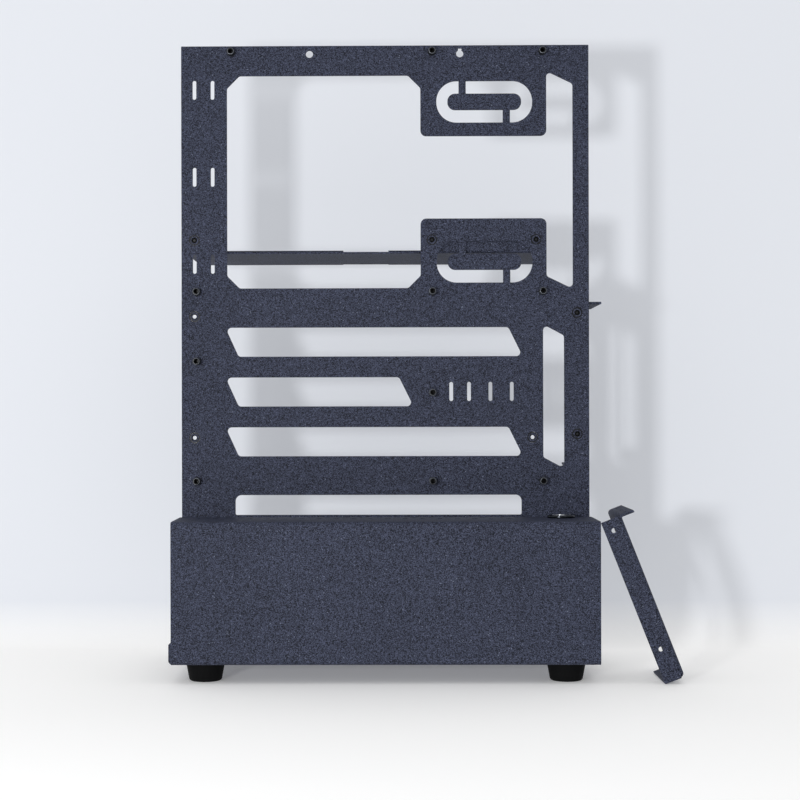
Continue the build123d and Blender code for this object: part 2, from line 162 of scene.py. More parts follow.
@dataclass(frozen=True)
class Finish:
    """A surface finish: its colour, its gloss and the fine grain that breaks it up."""

    name: str
    colour: str
    light: str
    metallic: float
    roughness: float
    grain_mm: float
    grain_depth_mm: float
    cloud_mm: float = 45.0
    cloud_depth: float = 0.1
    roughness_spread: float = 0.08
    specular: float = 0.5

    def material(self) -> bpy.types.Material:
        """Make this finish's material on first use.

        Returns:
            The material, the same one each time.
        """
        found = bpy.data.materials.get(self.name)
        if found:
            return found
        made = bpy.data.materials.new(self.name)
        made.use_nodes = True
        made.node_tree.nodes.clear()
        self.draw(made.node_tree)
        return made

    def draw(self, tree: bpy.types.NodeTree) -> None:
        """Draw the finish's nodes.

        Args:
            tree: Empty node tree of the material.
        """
        place = add_node(tree, "ShaderNodeTexCoord").outputs["Object"]
        grain = self.grain(tree, place)
        shade = add_node(
            tree,
            "ShaderNodeMix",
            {"Factor": grain, "A": linear(self.colour), "B": linear(self.light)},
            data_type="RGBA",
        )
        gloss = add_node(
            tree,
            "ShaderNodeMapRange",
            {
                "Value": grain,
                "To Min": self.roughness - self.roughness_spread,
                "To Max": self.roughness + self.roughness_spread,
            },
        )
        bump = add_node(
            tree,
            "ShaderNodeBump",
            {
                "Height": grain,
                "Strength": BUMP_STRENGTH,
                "Distance": self.grain_depth_mm * MM,
            },
        )
        shader = add_node(
            tree,
            "ShaderNodeBsdfPrincipled",
            {
                "Base Color": self.tint(tree, place, shade.outputs["Result"]),
                "Metallic": self.metallic,
                "Roughness": gloss.outputs["Result"],
                "Specular IOR Level": self.specular,
                "Normal": bump.outputs["Normal"],
            },
        )
        add_node(tree, "ShaderNodeOutputMaterial", {"Surface": shader.outputs["BSDF"]})

    def grain(self, tree: bpy.types.NodeTree, place: bpy.types.NodeSocket) -> bpy.types.NodeSocket:
        """Fine grain from 0 to 1.

        Args:
            tree: Tree of the material.
            place: Object coordinates.

        Returns:
            Socket with the grain's height.
        """
        noise = add_node(
            tree,
            "ShaderNodeTexNoise",
            {"Vector": place, "Scale": per_metre(self.grain_mm), "Detail": 2.0},
        )
        low, high = NOISE_RANGE
        return add_node(
            tree,
            "ShaderNodeMapRange",
            {"Value": noise.outputs["Fac"], "From Min": low, "From Max": high},
        ).outputs["Result"]

    def tint(
        self,
        tree: bpy.types.NodeTree,
        place: bpy.types.NodeSocket,
        colour: bpy.types.NodeSocket,
    ) -> bpy.types.NodeSocket:
        """Uneven tone over the whole piece.

        Args:
            tree: Tree of the material.
            place: Object coordinates.
            colour: Colour to vary.

        Returns:
            Socket with the varied colour.
        """
        cloud = add_node(
            tree,
            "ShaderNodeTexNoise",
            {"Vector": place, "Scale": per_metre(self.cloud_mm), "Detail": 1.0},
        )
        value = add_node(
            tree,
            "ShaderNodeMapRange",
            {
                "Value": cloud.outputs["Fac"],
                "To Min": 1 - self.cloud_depth,
                "To Max": 1 + self.cloud_depth,
            },
        )
        return add_node(
            tree,
            "ShaderNodeHueSaturation",
            {"Color": colour, "Value": value.outputs["Result"]},
        ).outputs["Color"]


@dataclass(frozen=True)
class PowderCoat(Finish):
    """Baked powder coat: a sandy skin, with painted shade between its grains and a few painted glints.
    """

    painted_glint: str = "#7a8195"
    painted_glint_mm: float = 0.45
    painted_glint_share: float = 0.003

    def grain(self, tree: bpy.types.NodeTree, place: bpy.types.NodeSocket) -> bpy.types.NodeSocket:
        """Small domes side by side, each of its own tone, darker towards the gaps between them as
        painted shade.

        Args:
            tree: Tree of the material.
            place: Object coordinates.

        Returns:
            Socket with the grains' height, from 0 to 1.
        """
        cell = add_node(
            tree,
            "ShaderNodeTexVoronoi",
            {"Vector": place, "Scale": per_metre(self.grain_mm), "Randomness": 1.0},
        )
        tone = add_node(tree, "ShaderNodeSeparateColor", {"Color": cell.outputs["Color"]})
        # Painted shade: the colour darkens towards each cell's edge, in the gaps between the grains; the
        # same value is the height.
        dome_height_and_gap_shade = add_node(
            tree, "ShaderNodeMath", {0: 1.0, 1: cell.outputs["Distance"]}, operation="SUBTRACT"
        )
        return add_node(
            tree,
            "ShaderNodeMath",
            {0: tone.outputs["Red"], 1: dome_height_and_gap_shade.outputs["Value"]},
            operation="MULTIPLY",
        ).outputs["Value"]

    def tint(
        self,
        tree: bpy.types.NodeTree,
        place: bpy.types.NodeSocket,
        colour: bpy.types.NodeSocket,
    ) -> bpy.types.NodeSocket:
        """Scatter a few painted glints, then vary the tone.

        Args:
            tree: Tree of the material.
            place: Object coordinates.
            colour: Colour of the grains.

        Returns:
            Socket with the finished colour.
        """
        cell = add_node(
            tree,
            "ShaderNodeTexVoronoi",
            {"Vector": place, "Scale": per_metre(self.painted_glint_mm), "Randomness": 1.0},
        )
        tone = add_node(tree, "ShaderNodeSeparateColor", {"Color": cell.outputs["Color"]})
        # Painted glints: a few cells get a pale colour that stands in for highlights.
        painted_glint_mask = add_node(
            tree,
            "ShaderNodeMath",
            {0: tone.outputs["Red"], 1: 1 - self.painted_glint_share},
            operation="GREATER_THAN",
        )
        with_painted_glints = add_node(
            tree,
            "ShaderNodeMix",
            {"Factor": painted_glint_mask.outputs["Value"], "A": colour, "B": linear(self.painted_glint)},
            data_type="RGBA",
        )
        return super().tint(tree, place, with_painted_glints.outputs["Result"])


# Fine textured powder coat on steel: matt and sandy, with painted shade between the grains and a few
# painted glints. Its real grit is about 0.3 mm, which is too fine to show at this distance, so it is
# drawn coarser.
POWDER_COAT = PowderCoat(
    "Powder_coat_dark_grey", "#06070b", "#6c738f", 0.0, 0.68, 0.45, 0.12, specular=0.12
)
# Black zinc plate on turned steel: dark, with a little gloss.
BLACK_ZINC = Finish("Black_zinc", "#08090a", "#141518", 0.0, 0.4, 0.8, 0.01, specular=0.25)
# The rim chamfer at the turned end: a lighter ring painted on as a highlight.
RIM_HIGHLIGHT_ZINC = Finish("Black_zinc_painted_rim_highlight", "#565a62", "#777c85", 0.6, 0.42, 0.8, 0.01)
# Clear zinc plate on cold-formed screws and nuts, a little dulled by handling.
ZINC_PLATE = Finish("Zinc_plated_steel", "#7d8186", "#a2a5a9", 1.0, 0.34, 1.2, 0.01)
# Moulded rubber: matt, with a faint bloom.
RUBBER = Finish("Moulded_black_rubber", "#050506", "#0c0d0e", 0.0, 0.75, 1.4, 0.04, specular=0.1)
# Chrome on turned brass: a mirror with hardly any grain.
CHROME = Finish(
    "Polished_chrome", "#c6c9cd", "#dcdfe2", 1.0, 0.12, 1.5, 0.002, roughness_spread=0.03
)
# Chrome on the bezel, tinted dark as a painted reflection of a dark surrounding: as smooth, so that only
# its highlights show.
DARK_REFLECTION_CHROME = Finish(
    "Chrome_painted_dark_reflection", "#26282b", "#3a3d42", 1.0, 0.2, 1.5, 0.002, roughness_spread=0.03
)
# Stamped brass tags, slightly tarnished.
BRASS = Finish("Stamped_brass", "#b08d45", "#cbaa63", 1.0, 0.32, 1.2, 0.01)


def clothe(obj: bpy.types.Object, *finishes: Finish) -> None:
    """Give an object its finishes.

    Args:
        obj: Object to dress.
        *finishes: Finishes of its material slots, in order.
    """
    if obj.data.materials:
        obj.data.materials.clear()
    for finish in finishes:
        obj.data.materials.append(finish.material())


def turned(outline: Outline, closed: bool = False) -> bmesh.types.BMesh:
    """Turn an outline round +Z, as on a lathe.

    Args:
        outline: Points of radius and height, in millimetres.
        closed: Join the last point to the first, for a part with a through bore.

    Returns:
        The turned shape.
    """
    bm = bmesh.new()
    verts = [bm.verts.new((radius * MM, 0, height * MM)) for radius, height in outline]
    pairs = list(zip(verts, verts[1:]))
    if closed:
        pairs.append((verts[-1], verts[0]))
    edges = [bm.edges.new(pair) for pair in pairs]
    bmesh.ops.spin(
        bm,
        geom=verts + edges,
        cent=(0, 0, 0),
        axis=(0, 0, 1),
        angle=FULL_TURN,
        steps=TURN_STEPS,
        use_merge=True,
    )
    bmesh.ops.remove_doubles(bm, verts=bm.verts, dist=WELD_DISTANCE)
    bmesh.ops.recalc_face_normals(bm, faces=bm.faces)
    return bm


def thread(root: float, crest: float, start: float, end: float, pitch: float) -> Outline:
    """Outline of a thread, drawn as rings.

    Args:
        root: Radius between the ridges, in mm.
        crest: Radius of the ridges, in mm.
        start: Height where the thread starts, in mm.
        end: Height where it ends, above or below the start.
        pitch: Distance from ridge to ridge, in mm.

    Returns:
        Points of radius and height from start to end.
    """
    count = max(1, int(abs(end - start) / pitch))
    step = (end - start) / count
    points = [(root, start)]
    for turn in range(count):
        points.append((crest, start + (turn + 0.5) * step))
        points.append((root, start + (turn + 1) * step))
    return points


def ring(bm: bmesh.types.BMesh, radius: float, height: float) -> list[bmesh.types.BMEdge]:
    """Find the edges of a turned shape that lie on a circle.

    Args:
        bm: The turned shape.
        radius: Radius of the circle, in mm.
        height: Height of the circle, in mm.

    Returns:
        The edges.
    """
    return [
        edge
        for edge in bm.edges
        if all(
            abs(math.hypot(vert.co.x, vert.co.y) - radius * MM) < RING_TOLERANCE
            and abs(vert.co.z - height * MM) < RING_TOLERANCE
            for vert in edge.verts
        )
    ]


def soften(
    bm: bmesh.types.BMesh, edges: Sequence[bmesh.types.BMEdge], size: float, segments: int
) -> None:
    """Round off edges.

    Args:
        bm: Shape that has the edges.
        edges: Edges to round.
        size: Width of the rounding, in mm.
        segments: Faces across the rounding.
    """
    bmesh.ops.bevel(
        bm,
        geom=list(edges),
        offset=size * MM,
        offset_type="OFFSET",
        segments=segments,
        profile=0.5,
        affect="EDGES",
        clamp_overlap=True,
        material=-1,
    )


def dress_rings(bm: bmesh.types.BMesh, index: int, inner: float, outer: float, bottom: float) -> None:
    """Give a turned shape's faces between two radii and above a height another finish.

    Args:
        bm: The turned shape.
        index: Number of the finish.
        inner: Smaller radius, in mm.
        outer: Larger radius, in mm.
        bottom: Height above which the faces lie, in mm.
    """
    for face in bm.faces:
        middle = face.calc_center_median() / MM
        if inner <= math.hypot(middle.x, middle.y) < outer and middle.z >= bottom - RING_SLACK:
            face.material_index = index


def shade(bm: bmesh.types.BMesh) -> None:
    """Shade round faces smooth and keep the sharp edges.

    Args:
        bm: Shape to shade.
    """
    for face in bm.faces:
        face.smooth = True
    for edge in bm.edges:
        edge.smooth = edge.calc_face_angle(0.0) < SHARP_ANGLE


@dataclass(frozen=True)
class Solid:
    """Box of one solid of a CAD node."""

    low: Vector
    high: Vector

    def size(self, way: Way) -> tuple[float, float]:
        """Measure the box along a direction.

        Args:
            way: Direction of the part's axis.

        Returns:
            Width across and length along the axis, in mm.
        """
        x, y, z = (self.high - self.low) / MM
        return (max(x, y), z) if way is Way.UP else (max(x, z), y)

    def seat(self, way: Way) -> Matrix:
        """Find the place of a part that stands for this solid.

        Args:
            way: Direction in which the part points from the solid's rear end.

        Returns:
            Move and turn from the origin to that place.
        """
        start = (self.low + self.high) / 2
        if way is Way.UP:
            start.z = self.low.z
        else:
            start.y = self.high.y
        return Matrix.Translation(start) @ way.turn()


def solids(node: str) -> list[Solid]:
    """Find the separate solids of a CAD node.

    Args:
        node: Name of the node.

    Returns:
        Their boxes, from left to right.
    """
    bm = bmesh.new()
    bm.from_mesh(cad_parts[node].data)
    bmesh.ops.remove_doubles(bm, verts=bm.verts, dist=WELD_DISTANCE)
    waiting = set(bm.verts)
    boxes = []
    while waiting:
        pending = [waiting.pop()]
        group = []
        while pending:
            vert = pending.pop()
            group.append(vert.co.copy())
            for edge in vert.link_edges:
                other = edge.other_vert(vert)
                if other in waiting:
                    waiting.remove(other)
                    pending.append(other)
        low = Vector([min(point[axis] for point in group) for axis in range(3)])
        high = Vector([max(point[axis] for point in group) for axis in range(3)])
        boxes.append(Solid(low, high))
    bm.free()
    return sorted(boxes, key=lambda box: tuple(box.low))


@dataclass
class SheetWork:
    """The folded sheets, with the soft edges that a baked coat leaves on a cut sheet."""

    nodes: tuple[str, ...] = (
        "base_shell",
        "main_plate",
        "rear_shelf",
        "card_bracket",
        "spare_card_bracket",
    )
    edge: float = 0.3 * MM
    edge_segments: int = 2
    edge_angle: float = math.radians(40)
    flat_angle: float = math.radians(0.5)

    def dress(self) -> None:
        """Coat the sheets and round their edges."""
        for name in self.nodes:
            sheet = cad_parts[name]
            clothe(sheet, POWDER_COAT)
            weld = sheet.modifiers.new("Weld", "WELD")
            weld.merge_threshold = WELD_DISTANCE
            faces = sheet.modifiers.new("Faces", "DECIMATE")
            faces.decimate_type = "DISSOLVE"
            faces.angle_limit = self.flat_angle
            bevel = sheet.modifiers.new("Edges", "BEVEL")
            # Measured along the edges, or two edges that meet at a small angle grow a spike.
            bevel.offset_type = "ABSOLUTE"
            bevel.width = self.edge
            bevel.segments = self.edge_segments
            bevel.limit_method = "ANGLE"
            bevel.angle_limit = self.edge_angle
            bevel.loop_slide = False
            bevel.use_clamp_overlap = False
            log.info("%s: powder coat", name)


@dataclass
class SmallParts:
    """Small parts that stand for the solids of one CAD node.

    One part is drawn along +Z from its rear end, and set on each solid.
    """

    node: str
    piece: str
    way: Way
    slot: Slot
    body: Body = Body.BENCH
    turn_step: float = 0.0
    finishes: ClassVar[tuple[Finish, ...]] = (ZINC_PLATE,)

    def draw(self, width: float, length: float) -> bmesh.types.BMesh:
        """Draw one part along +Z.

        Args:
            width: Width of the solid across its axis, in mm.
            length: Length of the solid along its axis, in mm.

        Returns:
            The part's shape, with its rear end at the origin.
        """
        raise NotImplementedError

    def build(self) -> bpy.types.Object:
        """Set the parts in place of the node's solids.

        Returns:
            One object with all the parts.
        """
        boxes = solids(self.node)
        drawn = self.draw(*boxes[0].size(self.way))
        mesh = bpy.data.meshes.new(self.piece)
        drawn.to_mesh(mesh)
        drawn.free()
        whole = bmesh.new()
        for number, box in enumerate(boxes):
            first = len(whole.verts)
            whole.from_mesh(mesh)
            whole.verts.ensure_lookup_table()
            turn = Matrix.Rotation(math.radians(number * self.turn_step), 4, "Z")
            bmesh.ops.transform(whole, matrix=box.seat(self.way) @ turn, verts=whole.verts[first:])
        shade(whole)
        whole.to_mesh(mesh)
        whole.free()
        made = bpy.data.objects.new(self.piece, mesh)
        bpy.context.scene.collection.objects.link(made)
        clothe(made, *self.finishes)
        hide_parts(self.node)
        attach(made, self.body.value)
        log.info("%s: %d for %s", self.piece, len(boxes), self.node)
        return made


@dataclass
class Standoffs(SmallParts):
    """Press-in standoffs: black bodies with a blind threaded bore, with a lighter ring at the end
    painted as a highlight.
    """

    sheet: float = 1.5
    shank: float = 2.1
    bore: float = 1.25
    bore_end: float = 1.5
    thread_root: float = 1.45
    pitch: float = 0.5
    mouth: float = 1.65
    mouth_depth: float = 0.3
    rim: float = 0.4
    painted_highlight_ring: tuple[float, float] = (1.95, 2.2)
    groove: float = 0.2
    groove_start: float = 0.6
    groove_slope: float = 0.2
    groove_floor: float = 0.3
    finishes: ClassVar[tuple[Finish, ...]] = (BLACK_ZINC, RIM_HIGHLIGHT_ZINC)

    def draw(self, width: float, length: float) -> bmesh.types.BMesh:
        """Turn one standoff, and paint a highlight ring at its end.

        Args:
            width: Width of the body, in mm.
            length: Length with the shank in the sheet, in mm.

        Returns:
            The standoff's shape.
        """
        radius = width / 2
        waist = radius - self.groove
        waist_start = self.sheet + self.groove_start + self.groove_slope
        waist_end = waist_start + self.groove_floor
        ring_in, ring_out = self.painted_highlight_ring
        ring_foot = length - self.rim / 4
        thread_start = length - self.mouth_depth
        outline = [
            (0, 0),
            (self.shank, 0),
            (self.shank, self.sheet),
            (radius, self.sheet),
            (radius, waist_start - self.groove_slope),
            (waist, waist_start),
            (waist, waist_end),
            (radius, waist_end + self.groove_slope),
            (radius, length - self.rim),
            (ring_out, ring_foot),
            (ring_in, length),
            (self.mouth, length),
        ]
        outline += thread(self.thread_root, self.bore, thread_start, self.bore_end, self.pitch)
        outline.append((0, self.bore_end))
        bm = turned(outline)
        # Painted highlight: the rim chamfer gets the lighter finish.
        dress_rings(bm, 1, ring_in, ring_out, ring_foot)
        return bm


@dataclass
class PressNuts(SmallParts):
    """Flush press nuts: coated with the plate, with painted shade in the groove round them and in the
    bore.
    """

    bore: float = 1.3
    thread_root: float = 1.5
    pitch: float = 0.5
    mouth: float = 1.85
    mouth_depth: float = 0.3
    groove: float = 0.7
    groove_depth: float = 0.9
    finishes: ClassVar[tuple[Finish, ...]] = (POWDER_COAT, BLACK_ZINC)

    def draw(self, width: float, length: float) -> bmesh.types.BMesh:
        """Turn one press nut, with painted shade in its groove and mouth.

        Args:
            width: Width of the nut, in mm.
            length: Thickness of the nut, in mm.

        Returns:
            The nut's shape.
        """
        radius = width / 2
        land = radius - self.groove
        groove_floor = length - self.groove_depth
        outline = [
            (radius, 0),
            (radius, groove_floor),
            (land, groove_floor),
            (land, length),
            (self.mouth, length),
        ]
        outline += thread(self.thread_root, self.bore, length - self.mouth_depth, 0, self.pitch)
        bm = turned(outline, closed=True)
        # Painted shade: the groove and the bore get the black finish.
        dress_rings(bm, 1, land, radius, groove_floor)
        dress_rings(bm, 1, 0, self.mouth, 0)
        return bm


@dataclass
class PanScrews(SmallParts):
    """Pan head screws with a cross recess and a rolled thread."""

    shank: float = 1.25
    head_height: float = 1.9
    pitch: float = 0.5
    flat_share: float = 0.6
    head_curve: tuple[tuple[float, float], ...] = ((0.85, 0.12), (0.97, 0.36), (1, 0.62), (0.98, 1))
    root_share: float = 0.8
    cross_reach: float = 0.5
    cross_width: float = 0.14
    cross_depth: float = 0.6
    cross_taper: float = 0.6
    tip: float = 0.45
    tip_share: float = 0.75
    finishes: ClassVar[tuple[Finish, ...]] = (BLACK_ZINC,)

    def draw(self, width: float, length: float) -> bmesh.types.BMesh:
        """Turn one screw and press the cross into its head.

        Args:
            width: Width of the head, in mm.
            length: Length with the head, in mm.

        Returns:
            The screw's shape, head first.
        """
        radius = width / 2
        flat = radius * self.flat_share
        root = self.shank * self.root_share
        end = length - self.tip / 2
        outline = [(flat, 0.0)]
        outline += [(radius * out, self.head_height * up) for out, up in self.head_curve]
        outline += thread(root, self.shank, self.head_height, length - self.tip, self.pitch)
        outline += [(root * self.tip_share, end), (0, end)]
        bm = turned(outline)
        self.press_cross(bm, flat, radius)
        bmesh.ops.recalc_face_normals(bm, faces=bm.faces)
        return bm

    def press_cross(self, bm: bmesh.types.BMesh, flat: float, radius: float) -> None:
        """Close the top of the head round a cross-shaped recess.

        Args:
            bm: The turned screw, open at the top of its head.
            flat: Radius of the flat top, in mm.
            radius: Radius of the head, in mm.
        """
        far, near = radius * self.cross_reach * MM, radius * self.cross_width * MM
        corners = []
        for quarter in range(4):
            turn = Matrix.Rotation(math.radians(90 * quarter), 3, "Z")
            corners += [turn @ Vector((x, y, 0)) for x, y in ((far, near), (far, -near), (near, -near))]
        corners.sort(key=lambda point: math.atan2(point.y, point.x))
        verts = [bm.verts.new(point) for point in corners]
        cross = [bm.edges.new((verts[i - 1], verts[i])) for i in range(len(verts))]
        bmesh.ops.triangle_fill(
            bm, use_beauty=True, edges=ring(bm, flat, 0) + cross, normal=(0, 0, -1)
        )
        walls = bmesh.ops.extrude_edge_only(bm, edges=cross)["geom"]
        low = [part for part in walls if isinstance(part, bmesh.types.BMVert)]
        bmesh.ops.scale(bm, vec=(self.cross_taper, self.cross_taper, 1), verts=low)
        bmesh.ops.translate(bm, vec=(0, 0, self.head_height * self.cross_depth * MM), verts=low)
        floor = [part for part in walls if isinstance(part, bmesh.types.BMEdge) and part.is_boundary]
        bmesh.ops.triangle_fill(bm, use_beauty=True, edges=floor, normal=(0, 0, -1))


@dataclass
class HexNuts(SmallParts):
    """Hexagon nuts with chamfered corners and a threaded bore."""

    bore: float = 1.3
    pitch: float = 0.5
    thread_share: float = 0.4
    blank_share: float = 1.03
    chamfer_share: float = 0.96
    chamfer_angle: float = math.radians(30)
    sides: int = 6

    def draw(self, width: float, length: float) -> bmesh.types.BMesh:
        """Turn a nut blank and cut its six flats.

        Args:
            width: Width over the corners, in mm.
            length: Height of the nut, in mm.

        Returns:
            The nut's shape.
        """
        half_side = math.pi / self.sides
        across = width * math.cos(half_side)
        corner = width / 2 * self.blank_share
        inner = across / 2 * self.chamfer_share
        fall = (corner - inner) * math.tan(self.chamfer_angle)
        crest = self.bore + self.pitch * self.thread_share
        outline = [
            (crest, 0),
            (inner, 0),
            (corner, fall),
            (corner, length - fall),
            (inner, length),
        ]
        outline += thread(crest, self.bore, length, 0, self.pitch)[:-1]
        bm = turned(outline, closed=True)
        for side in range(self.sides):
            angle = half_side * (2 * side + 1)
            normal = Vector((math.cos(angle), math.sin(angle), 0))
            cut = bmesh.ops.bisect_plane(
                bm,
                geom=bm.verts[:] + bm.edges[:] + bm.faces[:],
                dist=CUT_TOLERANCE,
                plane_co=normal * across / 2 * MM,
                plane_no=normal,
                clear_outer=True,
            )["geom_cut"]
            rim = [part for part in cut if isinstance(part, bmesh.types.BMEdge)]
            bmesh.ops.edgenet_fill(bm, edges=rim)
        bmesh.ops.recalc_face_normals(bm, faces=bm.faces)
        return bm


@dataclass
class RubberFoot(SmallParts):
    """A moulded rubber foot: a short cone, hollow round its screw."""

    bottom: float = 10.25
    bore: float = 2.15
    recess: float = 5.0
    recess_depth: float = 5.0
    rounding: float = 1.5
    rounding_faces: int = 4
    rim_rounding: float = 0.4
    rim_faces: int = 2
    finishes: ClassVar[tuple[Finish, ...]] = (RUBBER,)

    def draw(self, width: float, length: float) -> bmesh.types.BMesh:
        """Turn the foot and round its rims.

        Args:
            width: Width of the top, in mm.
            length: Height of the foot, in mm.

        Returns:
            The foot's shape.
        """
        top = width / 2
        outline = [
            (self.bore, self.recess_depth),
            (self.recess, self.recess_depth),
            (self.recess, 0),
            (self.bottom, 0),
            (top, length),
            (self.bore, length),
        ]
        bm = turned(outline, closed=True)
        soften(bm, ring(bm, self.bottom, 0), self.rounding, self.rounding_faces)
        rims = ring(bm, self.recess, 0) + ring(bm, top, length)
        soften(bm, rims, self.rim_rounding, self.rim_faces)
        return bm


@dataclass
class ButtonHousing(SmallParts):
    """Turned button housing: rounded bezel, threaded barrel and the bore for the cap."""

    bore: float = 6.3
    bore_depth: float = 8.0
    barrel: float = 7.9
    bezel_height: float = 2.0
    rounding: float = 0.9
    rounding_faces: int = 5
    seat_rounding: float = 0.2
    seat_faces: int = 2
    mouth: float = 0.25
    pitch: float = 1.0
    thread_depth: float = 0.4
    thread_start: float = 0.6
    plain_neck: float = 2.0
    # Dark-tinted chrome: a painted dark reflection.
    finishes: ClassVar[tuple[Finish, ...]] = (DARK_REFLECTION_CHROME,)

    def draw(self, width: float, length: float) -> bmesh.types.BMesh:
        """Turn the housing and round its bezel.

        Args:
            width: Width of the bezel, in mm.
            length: Length from the barrel's end to the top, in mm.

        Returns:
            The housing's shape.
        """
        bezel = width / 2
        seat = length - self.bezel_height
        root = self.barrel - self.thread_depth
        outline = [(0, 0), (self.barrel - self.thread_start, 0)]
        outline += thread(root, self.barrel, self.thread_start, seat - self.plain_neck, self.pitch)
        outline += [
            (root, seat),
            (bezel, seat),
            (bezel, length),
            (self.bore + self.mouth, length),
            (self.bore, length - self.mouth),
            (self.bore, length - self.bore_depth),
            (0, length - self.bore_depth),
        ]
        bm = turned(outline)
        soften(bm, ring(bm, bezel, length), self.rounding, self.rounding_faces)
        soften(bm, ring(bm, bezel, seat), self.seat_rounding, self.seat_faces)
        return bm


@dataclass
class ButtonCap(SmallParts):
    """The button's cap: a polished plunger with a low domed top."""

    dome_height_and_gap_shade: float = 0.4
    dome_steps: int = 8
    foot: float = 0.3
    finishes: ClassVar[tuple[Finish, ...]] = (CHROME,)

    def draw(self, width: float, length: float) -> bmesh.types.BMesh:
        """Turn the cap with its dome.

        Args:
            width: Width of the cap, in mm.
            length: Height of the cap, in mm.

        Returns:
            The cap's shape.
        """
        radius = width / 2
        outline = [(0, 0), (radius - self.foot, 0), (radius, self.foot)]
        for step in range(self.dome_steps):
            angle = math.radians(90) * step / self.dome_steps
            rise = self.dome_height_and_gap_shade * math.sin(angle)
            outline.append((radius * math.cos(angle), length - self.dome_height_and_gap_shade + rise))
        outline.append((0, length))
        return turned(outline)


@dataclass
class SolderTags(SmallParts):
    """Stamped solder tags with a slot, under the button's barrel."""

    thick: float = 0.5
    slot_margin: float = 0.9
    corner: float = 0.8
    corner_faces: int = 3
    finishes: ClassVar[tuple[Finish, ...]] = (BRASS,)

    def draw(self, width: float, length: float) -> bmesh.types.BMesh:
        """Cut one tag, clip its free corners and punch its slot.

        Args:
            width: Width of the tag, in mm.
            length: Length of the tag, in mm.

        Returns:
            The tag's shape, with its free end at the origin.
        """
        bm = bmesh.new()
        bmesh.ops.create_cube(bm, size=1)
        bmesh.ops.scale(bm, vec=(self.thick * MM, width * MM, length * MM), verts=bm.verts)
        bmesh.ops.translate(bm, vec=(0, 0, length / 2 * MM), verts=bm.verts)
        end = [edge for edge in bm.edges if all(v.co.z < WELD_DISTANCE for v in edge.verts)]
        corners = [e for e in end if abs(e.verts[0].co.x - e.verts[1].co.x) > WELD_DISTANCE]
        soften(bm, corners, self.corner, self.corner_faces)
        broad = [face for face in bm.faces if round(abs(face.normal.x)) == 1]
        bmesh.ops.inset_individual(bm, faces=broad, thickness=self.slot_margin * MM)
        rims = [edge for face in broad for edge in face.edges]
        bmesh.ops.delete(bm, geom=broad, context="FACES_ONLY")
        bmesh.ops.bridge_loops(bm, edges=rims)
        bmesh.ops.recalc_face_normals(bm, faces=bm.faces)
        return bm


